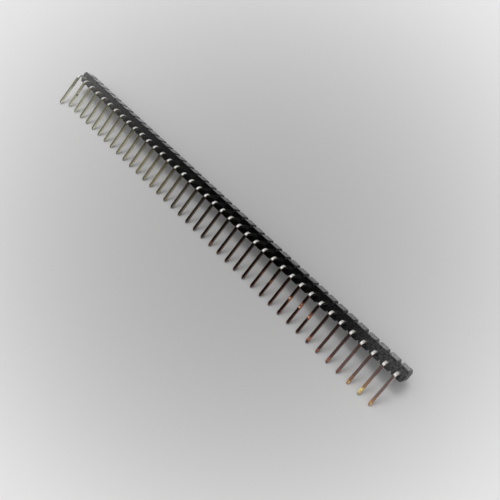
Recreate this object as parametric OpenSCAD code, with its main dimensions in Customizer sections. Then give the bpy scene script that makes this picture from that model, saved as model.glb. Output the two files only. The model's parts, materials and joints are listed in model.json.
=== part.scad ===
// Right-angle pin header strip, the break-away kind: one moulded insulator bar and a
// row of square wire contacts. Each contact is pressed straight through the bar, leaves
// a short tail behind it, and is bent down in front of it.
// In the bar's own frame X runs along the row, the contacts leave the front face
// towards -Y, their legs point to -Z and their tails to +Y. The finished strip is then
// laid down as it comes to rest, on the tips of its legs and the tips of its tails.

/* [Row] */
// Number of contacts in the strip
pin_count = 40; // [2:1:40]
// Distance from one contact to the next
pitch = 2.54; // [2.3:0.02:3]

/* [Insulator] */
// Size of the bar along the contacts, from its back face to its front face
bar_depth = 2.54; // [1.8:0.02:4]
// Size of the bar across the contacts, from its seating side to its top side
bar_height = 2.54; // [2:0.02:4]
// Depth of the V-shaped break notch between two modules, on both long sides
notch_depth = 0.5; // [0.2:0.05:0.6]
// Width of the break notch at its mouth
notch_width = 0.72; // [0.3:0.02:0.9]

/* [Contacts] */
// Side of the square wire
wire_side = 0.5; // [0.4:0.02:0.7]
// Gap between the wire and the wall of its passage, nothing in a press fit
passage_gap = 0; // [0:0.01:0.05]
// Straight run of the wire from the front face to the start of its bend
exit_length = 1.25; // [0.6:0.05:3]
// Radius on the inner side of the bend
bend_radius = 0.4; // [0.2:0.02:1]
// Angle of the bend in degrees. The wire springs back a little after it is formed.
bend_angle = 86; // [80:1:95]
// How far the bent leg reaches below the seating side of the bar
leg_reach = 5.85; // [2:0.05:9]
// Length of the straight tail behind the bar
tail_length = 3; // [2:0.1:6]
// Length of the taper at both ends of the wire
taper_length = 0.4; // [0.2:0.05:0.8]
// Side of the small square face that the taper ends in
tip_side = 0.26; // [0.16:0.02:0.38]

/* [First contact] */
// How much further forward the first contact was pressed than the others
first_advance = 0.9; // [0:0.05:1.5]
// How far the wire of the first contact is knocked up at the front face, in degrees
first_lift = 6; // [0:0.5:12]
// How far its formed end is twisted towards the second contact, in degrees
first_twist = 4; // [0:0.5:8]

/* [Hidden] */
// Arcs of the bends are this fine
$fn = 48;
row_length = pin_count * pitch;
// Radius of the wire's centre line in the bend
bend_mid = bend_radius + wire_side / 2;
// The tip of a regular leg lies this far below the centre line of the straight wire
leg_down = bar_height / 2 + leg_reach;
leg_length = (leg_down - bend_mid * (1 - cos(bend_angle))) / sin(bend_angle);
// and this far in front of the bar
leg_out = exit_length + bend_mid * sin(bend_angle) + leg_length * cos(bend_angle);
tail_out = bar_depth + tail_length;

// The row touches the table with the inner corner of each leg tip and the lower
// corner of each tail tip. The slope between these two lines is the tilt at rest.
touch_out = leg_out - tip_side / 2 * sin(bend_angle);
touch_down = leg_down + tip_side / 2 * cos(bend_angle);
rest_tilt = atan2(touch_down - tip_side / 2, touch_out + tail_out);
table_level = touch_out * sin(rest_tilt) - touch_down * cos(rest_tilt);

// Tip of the first contact, in front of the bar and below the wire's centre line: the
// longer leg is turned up about the centre of the bend at the front face
longer_out = leg_out + first_advance * cos(bend_angle);
longer_drop = bend_mid + leg_down + first_advance * sin(bend_angle);
first_out = longer_drop * sin(first_lift) + longer_out * cos(first_lift);
first_down = longer_drop * cos(first_lift) - longer_out * sin(first_lift) - bend_mid;

// The origin is below the middle of the strip as it lies: halfway between the tip of
// the first contact in front and the tips of the tails behind
front_reach = first_out * cos(rest_tilt) + first_down * sin(rest_tilt) + tip_side / 2;
back_reach = tail_out * cos(rest_tilt) + tip_side / 2 * sin(rest_tilt);
rest_shift = (front_reach - back_reach) / 2;

insulator_color = [0.07, 0.07, 0.08];
contact_color = [0.72, 0.58, 0.36];

function contact_x(i) = (i - (pin_count + 1) / 2) * pitch;
function contact_name(i) = str(i < 10 ? "pin_0" : "pin_", i);

// Lays what is drawn in the bar's own frame down on the table
module at_rest() {
    translate([0, rest_shift, -table_level])
        rotate([-rest_tilt, 0, 0])
            children();
}

// Outline of the bar seen along the contacts: lands parted by break notches on both
// long sides, and half a notch at each end where a neighbour was snapped off
module bar_outline() {
    land = (pitch - notch_width) / 2;
    half = bar_height / 2;
    top = [
        for (i = [1:pin_count], side = [-1, 1]) [contact_x(i) + side * land, half]
    ];
    top_notches = [for (i = [0:pin_count]) [i * pitch - row_length / 2, half - notch_depth]];
    upper = [
        for (i = [0:pin_count])
            each i < pin_count
                ? [top_notches[i], top[2 * i], top[2 * i + 1]]
                : [top_notches[i]]
    ];
    lower = [for (i = [len(upper) - 1:-1:0]) [upper[i][0], -upper[i][1]]];
    polygon(concat(upper, lower));
}

// The moulded bar with one square passage for each contact
module insulator() {
    passage = wire_side + 2 * passage_gap;
    color(insulator_color)
        at_rest()
            difference() {
                rotate([-90, 0, 0])
                    linear_extrude(bar_depth)
                        bar_outline();
                for (i = [1:pin_count])
                    translate([contact_x(i), bar_depth / 2, 0])
                        cube([passage, 2 * bar_depth, passage], center = true);
            }
}

// Square wire standing on the origin, with all four sides tapered to a small end face
module wire(length) {
    module side_view() {
        polygon([
            [-wire_side / 2, 0],
            [wire_side / 2, 0],
            [wire_side / 2, length - taper_length],
            [tip_side / 2, length],
            [-tip_side / 2, length],
            [-wire_side / 2, length - taper_length]
        ]);
    }
    intersection() {
        rotate([90, 0, 0])
            linear_extrude(wire_side, center = true)
                side_view();
        rotate([90, 0, 90])
            linear_extrude(wire_side, center = true)
                side_view();
    }
}

// A straight piece of wire from the origin towards -Y, and what follows at its end
module straight(length) {
    translate([-wire_side / 2, -length, -wire_side / 2])
        cube([wire_side, length, wire_side]);
    translate([0, -length, 0])
        children();
}

// A bend that turns the wire down from -Y towards -Z, and what follows at its end
module bend(angle) {
    translate([0, 0, -bend_mid]) {
        rotate([180, -90, 0])
            rotate_extrude(angle = angle)
                translate([bend_mid, 0])
                    square(wire_side, center = true);
        rotate([angle, 0, 0])
            translate([0, 0, bend_mid])
                children();
    }
}

// The same bend turned over, so that the wire rises
module bend_up(angle) {
    rotate([0, 180, 0])
        bend(angle)
            rotate([0, 180, 0])
                children();
}

// What stands in front of the bar: a straight exit, the bend and the leg
module formed_end(advance = 0) {
    straight(exit_length)
        bend(bend_angle)
            rotate([90, 0, 0])
                wire(leg_length + advance);
}

// The straight wire from the front face back through the bar to the tip of its tail
module shank(advance = 0) {
    rotate([-90, 0, 0])
        wire(tail_out - advance);
}

// A regular contact
module contact() {
    shank();
    formed_end();
}

// The first contact was pressed too far forward, and a knock has lifted and twisted it
module knocked_contact() {
    shank(first_advance);
    rotate([0, -first_twist, 0])
        if (first_lift > 0)
            bend_up(first_lift)
                formed_end(first_advance);
        else
            formed_end(first_advance);
}

// Contact number i in its place in the bar
module pin(i) {
    color(contact_color)
        at_rest()
            translate([contact_x(i), 0, 0])
                if (i == 1)
                    knocked_contact();
                else
                    contact();
}

insulator();
for (i = [1:pin_count])
    pin(i);
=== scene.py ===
# %% [markdown]
# # A right-angle pin header strip, laid on a table
#
# The object is a row of forty square wires pressed through a black moulded bar. The
# construction comes finished from the packed CAD model, so this lesson only dresses it:
# it breaks the sharp edges, gives the plastic and the plated metal their finishes, and
# sets up a camera, a table and soft light.
#
# Places and sizes are in metres, in the model's own frame. The strip lies along X, its
# legs stand on the -Y side and +Z is up. The strip's finishes are laid out in millimetres.

# %% Load the frame
import json
import math
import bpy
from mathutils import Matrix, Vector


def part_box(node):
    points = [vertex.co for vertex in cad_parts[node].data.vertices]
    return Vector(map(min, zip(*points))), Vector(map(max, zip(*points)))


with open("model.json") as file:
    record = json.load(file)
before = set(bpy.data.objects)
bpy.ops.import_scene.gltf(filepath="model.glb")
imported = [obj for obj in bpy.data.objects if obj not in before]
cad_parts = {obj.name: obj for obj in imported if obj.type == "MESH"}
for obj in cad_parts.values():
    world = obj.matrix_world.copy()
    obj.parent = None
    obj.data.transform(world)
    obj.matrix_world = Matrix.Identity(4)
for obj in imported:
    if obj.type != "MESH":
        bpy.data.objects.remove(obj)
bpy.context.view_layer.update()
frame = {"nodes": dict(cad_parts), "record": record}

from types import SimpleNamespace

import bpy
import numpy as np
from mathutils import Matrix, Vector

nodes = frame["nodes"]
contacts = sorted(name for name in nodes if name.startswith("pin_"))
print(f"{len(nodes)} pieces, of which {len(contacts)} are contacts")

# %% [markdown]
# ## The strip's own frame
#
# The strip leans: it rests on the tips of its legs and the tips of its tails. Wear and
# plating follow the wire, not the table, so the finishes need coordinates that lean with
# it. The record's mounts give the directions: the tails point backwards, and the top face
# points along the bar's own upward direction. What is left is read from the boxes of the
# pieces, so nothing here has to be changed when the model's sizes change.

# %% The leaning frame and the driving sizes
MM = 0.001
mounts = {mount["name"]: mount for mount in frame["record"]["mounts"]}
backward = Vector(mounts["tail_row"]["axis"]).normalized()
upward = Vector(mounts["top_face"]["axis"]).normalized()
sideways = Vector((1.0, 0.0, 0.0))
lean = math.atan2(upward.y, upward.z)

top_spot = Vector(mounts["top_face"]["pos_m"])
seat_spot = Vector(mounts["seating_face"]["pos_m"])
bar_low, bar_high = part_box("insulator")
bar_height = (top_spot - seat_spot).length
bar_depth = ((bar_high.y - bar_low.y) - bar_height * math.sin(lean)) / math.cos(lean)
row_length = bar_high.x - bar_low.x
pitch = row_length / len(contacts)

# the wire's centre line where it leaves the front face, in the middle of the row
wire_exit = (top_spot + seat_spot) / 2 - backward * bar_depth / 2
wire_exit.x = 0.0
# and how far below that line the legs reach
leg_down = (wire_exit - Vector(mounts["leg_row"]["pos_m"])).dot(upward)
pin_low, pin_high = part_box(contacts[len(contacts) // 2])
wire_side = pin_high.x - pin_low.x
print(f"lean {math.degrees(lean):.1f} degrees, pitch {pitch / MM:.2f} mm, wire {wire_side / MM:.2f} mm")
print(f"bar {bar_depth / MM:.2f} by {bar_height / MM:.2f} mm, legs {leg_down / MM:.2f} mm down")

# %% [markdown]
# ## A small language for node trees
#
# A procedural finish is a formula, and it reads best when it is written like one. The
# helper below adds a node and wires its inputs in one call. An input may be a number, a
# colour or another node's output, so formulas can be nested.


# %% Node helpers
class Graph:
    """Adds nodes to one node tree. Inputs are numbers, colours or other nodes' outputs."""

    def __init__(self, tree):
        self.tree = tree
        tree.nodes.clear()

    def add(self, kind, inputs=None, **settings):
        """A new node of that kind, with its settings made and its inputs wired."""
        made = self.tree.nodes.new(kind)
        for name, value in settings.items():
            setattr(made, name, value)
        for key, value in (inputs or {}).items():
            socket = made.inputs[key]
            if isinstance(value, bpy.types.NodeSocket):
                self.tree.links.new(value, socket)
            else:
                socket.default_value = value
        return made

    def math(self, operation, a, b=0.0):
        """One arithmetic step on one or two numbers."""
        return self.add("ShaderNodeMath", {0: a, 1: b}, operation=operation).outputs[0]

    def plus(self, a, b):
        """The sum of a and b."""
        return self.math("ADD", a, b)

    def minus(self, a, b):
        """What is left of a when b is taken away."""
        return self.math("SUBTRACT", a, b)

    def times(self, a, b):
        """The product of a and b."""
        return self.math("MULTIPLY", a, b)

    def over(self, a, b):
        """a divided by b."""
        return self.math("DIVIDE", a, b)

    def power(self, a, b):
        """a to the power of b."""
        return self.math("POWER", a, b)

    def larger(self, a, b):
        """The larger one of a and b."""
        return self.math("MAXIMUM", a, b)

    def size(self, a):
        """a without its sign."""
        return self.math("ABSOLUTE", a)

    def line(self, value, slope, base):
        """A straight line: the value times the slope, plus the base."""
        return self.plus(self.times(value, slope), base)

    def step(self, value, low, high):
        """0 below low, 1 above high and a smooth S between them; high may be the lower."""
        inputs = {"Value": value, "From Min": low, "From Max": high}
        node = self.add("ShaderNodeMapRange", inputs, interpolation_type="SMOOTHSTEP")
        return node.outputs["Result"]

    def blend(self, factor, a, b, way="MIX"):
        """Colour a where the factor is 0 and colour b where it is 1. With the way MULTIPLY,
        it is a times b where the factor is 1."""
        inputs = {0: factor, 6: a, 7: b}
        return self.add("ShaderNodeMix", inputs, data_type="RGBA", blend_type=way).outputs[2]

    def ramp(self, share, stops):
        """A colour ramp: stops are (share, colour) from 0 to 1, blended straight."""
        node = self.add("ShaderNodeValToRGB", {0: share})
        bands = node.color_ramp.elements
        while len(bands) < len(stops):
            bands.new(0.5)
        for band, (place, colour) in zip(bands, stops):
            band.position = place
            band.color = colour
        return node.outputs["Color"]

    def grey_ramp(self, share, stops):
        """The same ramp for stops that are (share, grey)."""
        return self.ramp(share, [(place, grey(level)) for place, level in stops])

    def along(self, vector, direction):
        """How far the vector reaches in that direction: the dot product of the two."""
        inputs = {0: vector, 1: tuple(direction)}
        return self.add("ShaderNodeVectorMath", inputs, operation="DOT_PRODUCT").outputs["Value"]

    def facing(self, direction):
        """How squarely the surface faces that direction: 1 straight on, 0 edge on."""
        return self.along(self.add("ShaderNodeTexCoord").outputs["Normal"], direction)

    def split(self, vector):
        """The three numbers of the vector."""
        return self.add("ShaderNodeSeparateXYZ", {0: vector}).outputs

    def stretch(self, vector, scale):
        """The vector scaled by a different amount along each axis."""
        return self.add("ShaderNodeMapping", {"Vector": vector, "Scale": scale}).outputs[0]

    def noise(self, vector, scale, detail=2.0, roughness=0.5):
        """Cloudy noise from 0 to 1 at that many clouds per unit of the vector."""
        inputs = {"Vector": vector, "Scale": scale, "Detail": detail, "Roughness": roughness}
        return self.add("ShaderNodeTexNoise", inputs).outputs["Fac"]

    def relief(self, height, strength, depth):
        """A bumpy surface: a height of 1 stands for that depth in mm, times the strength."""
        inputs = {"Height": height, "Strength": strength, "Distance": depth * MM}
        return self.add("ShaderNodeBump", inputs).outputs[0]

    def strip_position(self):
        """Where a point lies in the strip's own frame, in millimetres: X along the row, Y
        back from the front face and Z up from the wire's centre line. The object
        coordinates are scaled, turned upright by the lean and then shifted."""
        place = self.add("ShaderNodeTexCoord").outputs["Object"]
        turned = Matrix.Rotation(lean, 3, "X") @ wire_exit
        inputs = {
            "Vector": place,
            "Scale": (1 / MM, 1 / MM, 1 / MM),
            "Rotation": (lean, 0.0, 0.0),
            "Location": tuple(-turned / MM),
        }
        return self.add("ShaderNodeMapping", inputs).outputs["Vector"]

    def surface(self, kind, inputs):
        """A shader of that kind with those inputs, wired to the material's output."""
        shader = self.add(kind, inputs)
        self.add("ShaderNodeOutputMaterial", {"Surface": shader.outputs[0]})


def new_material(name):
    """An empty node material with that name, and its graph."""
    material = bpy.data.materials.new(name)
    material.use_nodes = True
    return material, Graph(material.node_tree)


def grey(level):
    """A neutral colour of that brightness."""
    return (level, level, level, 1.0)


print("node helpers:", ", ".join(name for name in vars(Graph) if not name.startswith("_")))

# %% [markdown]
# ## The black moulded bar
#
# The bar is glass-filled black nylon. In the middle of the row it is deep black. Towards
# both ends a painted haze turns the black to a charcoal grey. The lands on the upper side
# are painted greyer than the front, a painted sheen. Each end was snapped off a longer
# strip: the torn web between the two half notches is lighter and rougher than the moulded
# faces.
#
# One ramp along the row carries the painted haze and the direction a face looks in carries
# the painted sheen of the lands. A mottle makes the grey uneven, and a fine grain roughens
# the surface. The matt moulded sides mirror very little, which keeps the middle of the front
# deep black.

# %% Grey of the moulded faces
# painted haze, lighter towards both ends, along the row: (share of the row, linear grey)
DUST = (
    (0.00, 0.125),
    (0.08, 0.078),
    (0.18, 0.036),
    (0.32, 0.0075),
    (0.46, 0.001),
    (0.70, 0.001),
    (0.80, 0.003),
    (0.88, 0.010),
    (0.95, 0.044),
    (1.00, 0.057),
)
# the painted sheen on the lands: this many times the haze, and this much grey
LAND_SHEEN_HAZE = 1.2
LAND_SHEEN_GREY = 0.085
# it comes in patches this close, drawn out along the row, with edges this soft
LAND_SHEEN_PER_MM = 1.3
LAND_SHEEN_STRETCH = (0.6, 1.0, 1.0)
LAND_SHEEN_EDGE = (0.2, 0.6)
# the mottle: how close its flecks are and how soft their edges
MOTTLE_PER_MM = 2.6
MOTTLE_EDGE = (0.36, 0.64)
# its strength at the first contacts, and what is added over this share of the row
MOTTLE_FIRST = 0.5
MOTTLE_ADDED = 0.8
MOTTLE_GROWS = (0.4, 0.85)


def bar_grey(graph, spot, share, land):
    """Grey of a moulded face. It is the painted haze ramp. On the lands a painted sheen
    more than doubles it and raises it by LAND_SHEEN_GREY, in soft patches. A mottle of about
    0.4 mm is multiplied in: 1 plus or minus half its strength, which grows towards the last
    contacts."""
    dust = graph.grey_ramp(share, DUST)
    drawn_out = graph.stretch(spot, LAND_SHEEN_STRETCH)
    clouds = graph.noise(drawn_out, LAND_SHEEN_PER_MM, detail=4.0, roughness=0.6)
    land_sheen = graph.times(land, graph.line(dust, LAND_SHEEN_HAZE, LAND_SHEEN_GREY))
    level = graph.plus(dust, graph.times(land_sheen, graph.step(clouds, *LAND_SHEEN_EDGE)))
    speckle = graph.noise(spot, MOTTLE_PER_MM, detail=2.0, roughness=0.7)
    uneven = graph.minus(graph.step(speckle, *MOTTLE_EDGE), 0.5)
    strength = graph.line(graph.step(share, *MOTTLE_GROWS), MOTTLE_ADDED, MOTTLE_FIRST)
    return graph.times(level, graph.line(uneven, strength, 1.0))


print(f"dust on the bar: {DUST[0][1]} at the first contact and {DUST[-1][1]} at the last one")

# %% Black plastic
# a face is a land where it looks upward this squarely
LAND_FACES = (0.6, 0.95)
# the torn webs: their colour, how far they reach from the ends in mm, and their fibres
TORN_GREY = (0.13, 0.127, 0.132, 1.0)
TORN_DEPTH = 0.03
TEAR_PER_MM = 3.0
TEAR_STRETCH = (1.0, 2.5, 1.0)
# roughness: of the moulded faces, what the grain adds, and of the torn webs
BAR_ROUGHNESS = 0.2
GRAIN_ROUGHNESS = 0.1
TORN_ROUGHNESS = 0.7
# how much the matt faces mirror, and how much more the lands do
BAR_MIRROR = 0.12
LAND_MIRROR = 0.38
# the grain, its share of the relief, and the relief's strength and depth in mm
GRAIN_PER_MM = 9.0
GRAIN_RELIEF = 0.35
BAR_RELIEF = 0.35
BAR_RELIEF_DEPTH = 0.02


def black_plastic():
    """Moulded black plastic. Its colour is the bar grey with its painted haze and painted sheen,
    and the grey of a torn web within TORN_DEPTH of both ends of the row, where it is also
    rough and fibrous. A fine grain makes the roughness and the relief uneven, and the lands
    mirror more than the matt sides."""
    material, graph = new_material("black_plastic")
    spot = graph.strip_position()
    place = graph.split(spot)[0]
    share = graph.plus(graph.over(place, row_length / MM), 0.5)
    land = graph.step(graph.facing(upward), *LAND_FACES)
    end = row_length / 2 / MM
    torn = graph.step(graph.size(place), end - TORN_DEPTH, end - TORN_DEPTH / 3)
    tear = graph.noise(graph.stretch(spot, TEAR_STRETCH), TEAR_PER_MM, detail=5.0, roughness=0.7)
    grain = graph.noise(spot, GRAIN_PER_MM, detail=3.0, roughness=0.6)
    gloss = graph.line(grain, GRAIN_ROUGHNESS, BAR_ROUGHNESS)
    height = graph.plus(graph.times(grain, GRAIN_RELIEF), graph.times(torn, tear))
    inputs = {
        "Base Color": graph.blend(torn, bar_grey(graph, spot, share, land), TORN_GREY),
        "Roughness": graph.larger(gloss, graph.times(torn, TORN_ROUGHNESS)),
        "Specular IOR Level": graph.line(land, LAND_MIRROR, BAR_MIRROR),
        "Normal": graph.relief(height, BAR_RELIEF, BAR_RELIEF_DEPTH),
    }
    graph.surface("ShaderNodeBsdfPrincipled", inputs)
    return material


plastic = black_plastic()
print("finish:", plastic.name)

# %% [markdown]
# ## The plated and tarnished wire
#
# The wire is drawn brass with a tin-coloured plating. At the bend it is still bright, a
# little duller at the first contacts. Down the front of the legs it has tarnished to a
# thin, smooth, darker film. The colour of the legs changes along the row: olive grey at
# the first contacts, tan and dark brown in the middle and a mauve copper at the last ones.
# This is tarnish together with painted reflections, which darken the middle and warm the
# last contacts, and a painted haze, which lightens the first contacts. The upper legs are
# painted darker, a painted dark reflection. The sides of the legs kept their plating at
# the first contacts and lost it towards the last ones. Painted glints and warm reflections
# show as gold at some tips and copper here and there. At both ends of the row the wires are
# a little less metallic, a painted haze that makes them lighter.
#
# All of it is one material. The strip's own frame tells it which contact a point is on and
# how far down the leg it lies, so one formula serves all forty wires. It is made in steps:
# the place on the wire, the tarnish with its painted reflections, the spots, and then the
# surface as a whole.

# %% Where a point is on its wire
# a face is a side of the wire where it looks along the row this squarely
SIDE_FACES = (0.6, 0.9)
# the tarnish of the leg sets in this far below the centre line of the straight wire, in mm
LEG_STARTS = (0.2, 0.6)


def wire_place(graph):
    """Where a point is, from its place in the strip's own frame: the contact's number,
    which is whole on the centre line of a wire, its share of the row, the millimetres
    forward from the bar, down from the straight wire and beside the centre line, and two
    marks that are 1 on the sides of the wire and 1 on the leg."""
    spot = graph.strip_position()
    place, back, up = graph.split(spot)
    number = graph.plus(graph.over(place, pitch / MM), (len(contacts) + 1) / 2)
    between = graph.math("FRACT", graph.plus(number, 0.5))
    down = graph.times(up, -1.0)
    return SimpleNamespace(
        spot=spot,
        number=number,
        share=graph.over(graph.minus(number, 1.0), len(contacts) - 1.0),
        forward=graph.times(back, -1.0),
        down=down,
        beside=graph.times(graph.size(graph.minus(between, 0.5)), pitch / MM),
        side=graph.step(graph.size(graph.facing(sideways)), *SIDE_FACES),
        on_leg=graph.step(down, *LEG_STARTS),
    )


print(f"the legs start {LEG_STARTS[0]} mm below the centre line of the straight wire")

# %% Tarnish
PLATING = (0.97, 0.95, 0.915, 1.0)
DULL_PLATING = (0.78, 0.77, 0.735, 1.0)
SIDE_PLATING = (0.95, 0.92, 0.79, 1.0)
# the plating brightens over this share of the row
PLATING_BRIGHTENS = (0.2, 0.45)
# colour of the legs along the row, (share of the row, colour): tarnish, with painted
# reflections that darken the middle and warm the last contacts, and a painted haze that
# lightens the first contacts
TARNISH_AND_REFLECTION = (
    (0.00, (0.30, 0.295, 0.20, 1.0)),
    (0.10, (0.175, 0.165, 0.10, 1.0)),
    (0.25, (0.19, 0.17, 0.095, 1.0)),
    (0.38, (0.20, 0.165, 0.09, 1.0)),
    (0.55, (0.13, 0.08, 0.048, 1.0)),
    (0.75, (0.20, 0.078, 0.048, 1.0)),
    (0.90, (0.145, 0.082, 0.07, 1.0)),
    (1.00, (0.225, 0.155, 0.135, 1.0)),
)
# how much of the bright plating is left on the sides of the legs along the row
SIDE_LEFT = ((0.0, 0.9), (0.2, 0.8), (0.3, 0.62), (0.38, 0.45), (0.5, 0.1), (1.0, 0.0))
# each wire has a shade of its own and patches on it: the least, and what may be added
OWN_LEAST = 0.8
OWN_ADDED = 0.35
PATCH_LEAST = 0.75
PATCH_ADDED = 0.5
PATCHES_PER_MM = 1.1
PATCH_STRETCH = (1.0, 1.0, 0.5)
# the upper leg is painted darker, a painted dark reflection: by how much, between how many
# mm down, and over which shares of the row this sets in and fades again (more than half is
# left at the last contact)
UPPER_DARKER = 0.66
UPPER_REACH = (4.0, 0.5)
UPPER_SETS_IN = (0.02, 0.2)
UPPER_FADES = (1.4, 0.7)


def tarnish_and_reflection(graph, at):
    """Colour of the plating and of the tarnished legs with their painted reflections, at a
    place on the wire. The leg colour is a ramp over the contact's place in the row, times a
    shade of each contact's own, times soft patches, times what is left in the upper part of
    the leg, which is painted darker, a painted dark reflection. On the sides of the legs,
    plating covers it by SIDE_LEFT. Above the leg it is all plating, which is duller at the
    first contacts."""
    whole = graph.math("ROUND", at.number)
    own = graph.add("ShaderNodeTexWhiteNoise", {"W": whole}, noise_dimensions="1D").outputs["Value"]
    patches = graph.noise(graph.stretch(at.spot, PATCH_STRETCH), PATCHES_PER_MM, detail=3.0)
    reach = graph.times(graph.step(at.down, *UPPER_REACH), graph.step(at.share, *UPPER_SETS_IN))
    upper = graph.times(reach, graph.step(at.share, *UPPER_FADES))
    shade = graph.line(own, OWN_ADDED, OWN_LEAST)
    shade = graph.times(shade, graph.line(patches, PATCH_ADDED, PATCH_LEAST))
    # the upper leg is painted darker, a painted dark reflection
    shade = graph.times(shade, graph.minus(1.0, graph.times(upper, UPPER_DARKER)))
    film_and_reflection = graph.blend(1.0, graph.ramp(at.share, TARNISH_AND_REFLECTION), shade, way="MULTIPLY")
    left = graph.times(at.side, graph.grey_ramp(at.share, SIDE_LEFT))
    leg = graph.blend(left, film_and_reflection, SIDE_PLATING)
    plating = graph.blend(graph.step(at.share, *PLATING_BRIGHTENS), DULL_PLATING, PLATING)
    return graph.blend(at.on_leg, plating, leg)


print("tarnish:", len(TARNISH_AND_REFLECTION), "colours along the row")

# %% [markdown]
# ## Painted glints and reflections on single wires
#
# No two wires are quite alike. Bright copper glints, warm red-brown and bronze reflections,
# gold glints at a few tips and silver highlights are painted on single wires, and one dark
# speck is dirt. An image could be painted for them, but a short list of spots does the same
# and can be read: each has a contact, a place down the leg, a size and a colour. They are
# laid on in their order.

# %% Spots
BRONZE = (0.48, 0.23, 0.08, 1.0)
GOLD = (0.98, 0.66, 0.33, 1.0)
PALE_GOLD = (0.98, 0.80, 0.27, 1.0)
COPPER = (0.85, 0.42, 0.22, 1.0)
SILVER = (0.95, 0.95, 0.93, 1.0)
RED_BROWN = (0.42, 0.15, 0.09, 1.0)
GREY_FILM = (0.17, 0.17, 0.15, 1.0)
SPECK = (0.05, 0.05, 0.04, 1.0)
# half width of a spot that covers the whole wire, in mm: it is full over half of this
WHOLE = 1.2 * wire_side / MM
# (contact, share of the way down the leg, half length and half width in mm, colour,
# strength, how it spreads: even, broken into specks, or on the sides of the leg only)
# the copper, red-brown, bronze and gold spots are painted glints and warm reflections, the silver ones
# painted highlights; the SPECK is dirt
SPOTS = (
    (1, 0.02, 0.60, WHOLE, SILVER, 0.70, "even"),
    (1, 0.60, 5.00, WHOLE, GREY_FILM, 0.60, "side"),
    (2, 0.53, 0.35, WHOLE, SPECK, 0.90, "side"),
    (23, 0.90, 0.60, WHOLE, RED_BROWN, 0.35, "even"),
    (24, 0.96, 0.40, WHOLE, RED_BROWN, 0.30, "even"),
    (28, 0.50, 0.60, WHOLE, RED_BROWN, 0.15, "even"),
    (29, 0.50, 0.60, WHOLE, RED_BROWN, 0.30, "even"),
    (31, 0.47, 0.70, WHOLE, RED_BROWN, 0.40, "even"),
    (31, 0.46, 0.26, 0.22, COPPER, 0.90, "even"),
    (32, 0.40, 0.90, WHOLE, RED_BROWN, 0.50, "even"),
    (32, 0.36, 0.30, 0.20, COPPER, 0.50, "even"),
    (32, 0.45, 0.26, 0.22, COPPER, 1.00, "even"),
    (33, 0.44, 1.00, WHOLE, RED_BROWN, 0.50, "even"),
    (33, 0.47, 0.26, 0.22, COPPER, 0.90, "even"),
    (34, 0.86, 0.70, WHOLE, RED_BROWN, 0.60, "even"),
    (34, 0.86, 0.50, 0.30, COPPER, 0.40, "specks"),
    (35, 0.92, 0.60, WHOLE, RED_BROWN, 0.50, "even"),
    (36, 0.88, 0.80, WHOLE, RED_BROWN, 0.50, "even"),
    (36, 0.92, 0.40, 0.30, COPPER, 0.50, "specks"),
    (37, 0.90, 0.80, WHOLE, RED_BROWN, 0.30, "even"),
    (38, 0.88, 1.60, WHOLE, BRONZE, 0.35, "even"),
    (38, 0.94, 0.65, WHOLE, BRONZE, 0.70, "even"),
    (38, 0.94, 0.60, 0.40, GOLD, 1.00, "specks"),
    (39, 0.80, 2.60, WHOLE, BRONZE, 0.45, "even"),
    (39, 0.88, 1.00, 0.50, PALE_GOLD, 0.50, "even"),
    (39, 0.88, 1.00, 0.50, PALE_GOLD, 1.00, "specks"),
    (40, 0.88, 1.60, WHOLE, BRONZE, 0.35, "even"),
    (40, 0.93, 0.80, WHOLE, BRONZE, 0.70, "even"),
    (40, 0.94, 0.65, 0.40, GOLD, 1.00, "specks"),
    (40, 0.17, 1.80, WHOLE, SILVER, 0.80, "side"),
)
# the specks: how close they are and how soft
SPECKS_PER_MM = 3.6
SPECKS_EDGE = (0.48, 0.58)
# a spot is full within these shares of its half length and half width
FULL_LENGTH = 0.3
FULL_WIDTH = 0.5
# a place is on the wire of a spot where its number is this near to the spot's
SAME_WIRE = 0.45


def spotted(graph, at, colour):
    """Lays the spots over the colour: most are painted glints and reflections. Also gives the
    spot strength of the place. A spot is a smooth bump in two directions, along its leg and
    across its wire, times its strength and its spread. The spot strength of a place is that
    of its strongest spot."""
    specks = graph.step(graph.noise(at.spot, SPECKS_PER_MM, detail=1.0), *SPECKS_EDGE)
    spread = {"even": 1.0, "specks": specks, "side": at.side}
    spot_strength = 0.0
    for contact, place, half, width, spot_colour, strength, kind in SPOTS:
        inputs = {0: at.number, 1: float(contact), 2: SAME_WIRE}
        near = graph.add("ShaderNodeMath", inputs, operation="COMPARE").outputs[0]
        gap = graph.size(graph.minus(at.down, place * leg_down / MM))
        bump = graph.times(graph.step(gap, half, half * FULL_LENGTH), near)
        bump = graph.times(bump, graph.step(at.beside, width, width * FULL_WIDTH))
        bump = graph.times(graph.times(bump, spread[kind]), strength)
        colour = graph.blend(bump, colour, spot_colour)
        spot_strength = graph.larger(spot_strength, bump)
    return colour, spot_strength


print(len(SPOTS), "spots on", len({row[0] for row in SPOTS}), "wires")

# %% Plated wire
# the front of the bend turns satin this far in front of the bar, in mm
SATIN_STARTS = (0.75, 1.25)
# drawing streaks: how many per mm across the wire and down the leg, and their relief
STREAKS_PER_MM = (14.0, 14.0, 0.7)
STREAK_RELIEF = 0.25
STREAK_DEPTH = 0.008
# roughness: of the film, what the streaks add, and what satin and the spots add
FILM_ROUGHNESS = 0.12
STREAK_ROUGHNESS = 0.12
SATIN_ROUGHNESS = 0.2
# painted haze grows over these shares of the row towards its ends, and the haze and the
# spots take this much of the metal away
HAZY_FIRST = (0.4, 0.0)
HAZY_LAST = (0.75, 1.0)
HAZE_DULLS = 0.12
SPOT_DULLS = 0.8


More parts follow.
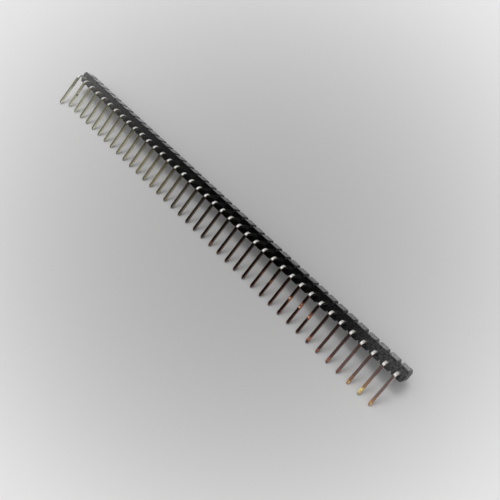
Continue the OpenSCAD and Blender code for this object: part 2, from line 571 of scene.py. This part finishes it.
def plated_wire():
    """Plated wire that tarnishes down the legs. The colour is the plating and the tarnished legs
    with their painted reflections, and the spots on them. The tarnished surface is smooth with
    fine streaks, the front of the bend satin and the spots matt and less metallic, so that
    their painted glints show. At both ends of the row a little of the metal is taken away, a
    painted haze that makes the wires lighter."""
    material, graph = new_material("plated_wire")
    at = wire_place(graph)
    colour, spot_strength = spotted(graph, at, tarnish_and_reflection(graph, at))
    streaks = graph.noise(graph.stretch(at.spot, STREAKS_PER_MM), 1.0, detail=3.0)
    satin = graph.minus(graph.step(at.forward, *SATIN_STARTS), graph.larger(at.on_leg, at.side))
    rough = graph.line(streaks, STREAK_ROUGHNESS, FILM_ROUGHNESS)
    matt = graph.times(graph.larger(satin, spot_strength), SATIN_ROUGHNESS)
    hazy = graph.plus(graph.step(at.share, *HAZY_FIRST), graph.step(at.share, *HAZY_LAST))
    dull = graph.larger(graph.times(spot_strength, SPOT_DULLS), graph.times(hazy, HAZE_DULLS))
    inputs = {
        "Base Color": colour,
        "Metallic": graph.minus(1.0, dull),
        "Roughness": graph.plus(rough, matt),
        "Normal": graph.relief(streaks, STREAK_RELIEF, STREAK_DEPTH),
    }
    graph.surface("ShaderNodeBsdfPrincipled", inputs)
    return material


wire = plated_wire()
print("finish:", wire.name)

# %% [markdown]
# ## Edges that catch the light
#
# No real edge is perfectly sharp, and the thin bright line along it is what makes a small
# part look real. The CAD meshes are loose triangles, so three modifiers finish each piece
# without touching its mesh: Weld joins the triangles, Decimate in planar mode clears the
# lines across flat faces, and Bevel rounds every edge that is sharper than SHARP_ANGLE.

# %% Finish the pieces
BAR_EDGE = 0.04 * MM
WIRE_EDGE = 0.035 * MM
EDGE_SEGMENTS = 2
WELD_REACH = 1e-7
FLAT_ANGLE = math.radians(1.0)
SHARP_ANGLE = math.radians(30.0)


def soften(piece, width):
    """Weld, clear the flat faces and round the sharp edges to that width."""
    weld = piece.modifiers.new("weld", "WELD")
    weld.merge_threshold = WELD_REACH
    flat = piece.modifiers.new("flat", "DECIMATE")
    flat.decimate_type = "DISSOLVE"
    flat.angle_limit = FLAT_ANGLE
    round_edge = piece.modifiers.new("round_edge", "BEVEL")
    round_edge.width = width
    round_edge.segments = EDGE_SEGMENTS
    round_edge.limit_method = "ANGLE"
    round_edge.angle_limit = SHARP_ANGLE
    round_edge.use_clamp_overlap = False
    round_edge.harden_normals = True


for name, piece in nodes.items():
    is_bar = name == "insulator"
    piece.data.materials.clear()
    piece.data.materials.append(plastic if is_bar else wire)
    soften(piece, BAR_EDGE if is_bar else WIRE_EDGE)
print("softened", len(nodes), "pieces")

# %% [markdown]
# ## The camera
#
# It looks down on the strip from the side of the last contact, across the legs, close
# enough for the row to taper strongly. A slight roll turns the row a little steeper in the
# frame.

# %% Camera
EYE = Vector((66.86, -55.96, 94.83)) * MM
AIM = Vector((12.02, 1.17, 0.0)) * MM
ROLL = math.radians(7.37)
# focal length and width of the sensor, in mm
LENS = 44.86
SENSOR = 36.0
# what is nearer or farther than this isn't drawn, in m
NEAREST = 0.005
FARTHEST = 20.0


def put(name, data):
    """A new object with that name and data, linked into the scene."""
    made = bpy.data.objects.new(name, data)
    bpy.context.scene.collection.objects.link(made)
    return made


def looking(place, way, roll=0.0):
    """The matrix of a camera or lamp at that place that looks that way, rolled about it."""
    turn = way.to_track_quat("-Z", "Y").to_matrix().to_4x4()
    return Matrix.Translation(place) @ (turn @ Matrix.Rotation(roll, 4, "Z"))


camera_data = bpy.data.cameras.new("camera")
camera_data.lens = LENS
camera_data.sensor_width = SENSOR
camera_data.clip_start = NEAREST
camera_data.clip_end = FARTHEST
sight = AIM - EYE
camera = put("camera", camera_data)
camera.matrix_world = looking(EYE, sight, ROLL)
bpy.context.scene.camera = camera
print(f"camera {sight.length / MM:.0f} mm from where it aims on the table")

# %% [markdown]
# ## The table
#
# The strip lies on a pale card. The card is a little greyer in the middle and grows paler
# outwards, like a sheet under a lamp with a soft vignette. The paleness is in the card's
# own colour, so the light on the strip stays plain. The card is a disc that curls up
# into a backdrop far away, so it fills low views as well.

# %% Shape of the card
# how far out it lies flat, and the radius and height of its rim, in m
CARD_FLAT = 0.9
CARD_EDGE = 2.2
CARD_RISE = 0.7


def dish(rings, spokes):
    """A round sheet on a polar grid. The radius grows with the square of the ring number.
    The sheet is flat to CARD_FLAT and then rises with the square of the distance."""
    ring = np.linspace(0.0, 1.0, rings + 1)[1:] ** 2 * CARD_EDGE
    turn = np.arange(spokes) / spokes * 2 * math.pi
    radius, angle = np.meshgrid(ring, turn, indexing="ij")
    past = np.clip((radius - CARD_FLAT) / (CARD_EDGE - CARD_FLAT), 0.0, None)
    grid = np.stack([radius * np.cos(angle), radius * np.sin(angle), CARD_RISE * past**2], -1)
    points = np.concatenate([[[0.0, 0.0, 0.0]], grid.reshape(-1, 3)])
    here = 1 + np.arange(rings)[:, None] * spokes + np.arange(spokes)
    after = 1 + np.arange(rings)[:, None] * spokes + (np.arange(spokes) + 1) % spokes
    quads = np.stack([here[:-1], here[1:], after[1:], after[:-1]], -1).reshape(-1, 4)
    hub = np.stack([np.zeros(spokes, int), here[0], after[0]], -1)
    mesh = bpy.data.meshes.new("card")
    mesh.from_pydata(points.tolist(), [], hub.tolist() + quads.tolist())
    mesh.shade_smooth()
    return mesh


card = put("card", dish(rings=48, spokes=96))
print(f"card {CARD_EDGE * 2} m across, with {len(card.data.polygons)} faces")

# %% Finish of the card
# its grey where the paleness is 0 and where it is 1
CARD_GREY = 0.435
CARD_PALE = 0.83
# the paleness is nearly 1 at this distance from the centre, and it never passes the limit
CARD_REACH = 0.0665
CARD_LIMIT = 1.15
# the larger this power, the more suddenly the paleness levels off
CARD_BEND = 6.0
# the distance is divided by a number that shrinks towards the camera, but not below this
CARD_SHRINK = 0.3
# the fibres of the card, and how rough it is and how much it mirrors
FIBRES_PER_M = 900.0
FIBRE_RELIEF = 0.05
FIBRE_DEPTH = 0.02
CARD_ROUGHNESS = 0.85
CARD_MIRROR = 0.15


def pale_card(centre, heading, squash, fade):
    """Matt card, CARD_GREY in the middle and about CARD_PALE at CARD_REACH. The distance
    from the centre is measured in an egg shape: squashed along the heading, and divided by
    1 plus the fade times the way that lies ahead. The paleness grows with the square of
    that distance and then levels off at CARD_LIMIT."""
    material, graph = new_material("pale_card")
    place = graph.add("ShaderNodeTexCoord").outputs["Object"]
    turned = Matrix.Rotation(-heading, 3, "Z") @ centre
    inputs = {"Vector": place, "Rotation": (0.0, 0.0, -heading), "Location": tuple(-turned)}
    ahead, across, _ = graph.split(graph.add("ShaderNodeMapping", inputs).outputs[0])
    deep = graph.times(ahead, squash)
    far = graph.math("SQRT", graph.plus(graph.power(deep, 2.0), graph.power(across, 2.0)))
    egg = graph.over(far, graph.larger(graph.line(ahead, fade, 1.0), CARD_SHRINK))
    pale = graph.times(graph.power(egg, 2.0), 1.0 / CARD_REACH**2)
    slowing = graph.plus(graph.power(graph.over(pale, CARD_LIMIT), CARD_BEND), 1.0)
    pale = graph.over(pale, graph.power(slowing, 1.0 / CARD_BEND))
    fibre = graph.noise(place, FIBRES_PER_M, detail=3.0)
    inputs = {
        "Base Color": graph.line(pale, CARD_PALE - CARD_GREY, CARD_GREY),
        "Roughness": CARD_ROUGHNESS,
        "Specular IOR Level": CARD_MIRROR,
        "Normal": graph.relief(fibre, FIBRE_RELIEF, FIBRE_DEPTH),
    }
    graph.surface("ShaderNodeBsdfPrincipled", inputs)
    return material


# the egg shape is a circle as the camera sees it
heading = math.atan2(sight.y, sight.x)
dip = math.asin(-sight.z / sight.length)
finish = pale_card(AIM, heading, squash=math.sin(dip), fade=math.cos(dip) / sight.length)
card.data.materials.append(finish)
print(f"finish: {finish.name}, seen {math.degrees(dip):.0f} degrees from above")

# %% [markdown]
# ## Soft light
#
# The light is plain: a pale dome that is brighter high in front of the row, and one wide
# soft lamp overhead, a little behind the row. Together they are about strong enough to
# show a colour as it is written. The lamp draws the shade of the bar on the card between
# the legs. It isn't seen in reflections, where it would burn out the bright bends.

# %% Dome
DOME_BACK = 0.13
DOME_FRONT = 1.13
DOME_TOWARDS = Vector((-0.20, -0.65, 0.74)).normalized()
# it brightens between these two: -1 looks straight away from DOME_TOWARDS and 1 at it
DOME_SPREAD = (-0.4, 0.95)

world = bpy.data.worlds.new("dome")
world.use_nodes = True
bpy.context.scene.world = world
sky = Graph(world.node_tree)
ray = sky.add("ShaderNodeTexCoord").outputs["Generated"]
bright = sky.step(sky.along(ray, DOME_TOWARDS), *DOME_SPREAD)
strength = sky.line(bright, DOME_FRONT - DOME_BACK, DOME_BACK)
background = sky.add("ShaderNodeBackground", {"Strength": strength})
sky.add("ShaderNodeOutputWorld", {"Surface": background.outputs[0]})
print(f"dome from {DOME_BACK} behind to {DOME_FRONT} in front")

# %% Overhead lamp
LAMP_SIZE = 0.34
LAMP_SPOT = Vector((-0.14, 0.17, 0.80))
LAMP_SHARE = 0.32

lamp_data = bpy.data.lights.new("overhead", "AREA")
lamp_data.shape = "SQUARE"
lamp_data.size = LAMP_SIZE
# the energy that lights a white card below the lamp to LAMP_SHARE
lamp_data.energy = LAMP_SHARE * math.pi**2 * LAMP_SPOT.length**2 / LAMP_SPOT.normalized().z
lamp = put("overhead", lamp_data)
lamp.matrix_world = looking(LAMP_SPOT, -LAMP_SPOT)
lamp.visible_glossy = False
print(f"lamp of {lamp_data.energy:.2f} W, {LAMP_SPOT.z:.2f} m above the table")

# %% [markdown]
# ## Something dark to mirror
#
# Polished metal shows what stands around it, so the legs need something dark to mirror. A
# black card stands in front of the strip, where a maker in dark clothes would sit. It is
# seen in reflections only, so it takes no light from the table.

# %% Black card
# how it stands round the strip, in degrees from straight in front of the row towards its
# first contact
FLAG_FROM = 12.0
FLAG_TO = 41.0
FLAG_STEPS = 25
# how far away and how high it stands, in m
FLAG_RADIUS = 0.5
FLAG_HEIGHT = 0.6
FLAG_GREY = 0.01


def black_flag():
    """A curved upright sheet that stands on the table: the part from FLAG_FROM to FLAG_TO
    of a cylinder round the strip. It is seen in reflections only."""
    turn = np.radians(np.linspace(FLAG_FROM, FLAG_TO, FLAG_STEPS))
    angle, height = np.meshgrid(turn, [0.0, FLAG_HEIGHT], indexing="ij")
    grid = np.stack([-FLAG_RADIUS * np.sin(angle), -FLAG_RADIUS * np.cos(angle), height], -1)
    first = np.arange(FLAG_STEPS - 1) * 2
    quads = np.stack([first, first + 1, first + 3, first + 2], -1)
    mesh = bpy.data.meshes.new("black_flag")
    mesh.from_pydata(grid.reshape(-1, 3).tolist(), [], quads.tolist())
    material, graph = new_material("black_flag")
    graph.surface("ShaderNodeBsdfDiffuse", {"Color": grey(FLAG_GREY)})
    mesh.materials.append(material)
    sheet = put("black_flag", mesh)
    sheet.visible_camera = False
    sheet.visible_diffuse = False
    sheet.visible_shadow = False
    return sheet


flag = black_flag()
print(f"{flag.name} {FLAG_RADIUS} m away and {FLAG_HEIGHT} m high")

# %% [markdown]
# ## Colour
#
# The Standard view shows a colour as it is written and bends none of the tones, so the
# finishes can be judged by their own numbers.

# %% Colour management
view = bpy.context.scene.view_settings
view.view_transform = "Standard"
print("view transform", view.view_transform)

# %% [markdown]
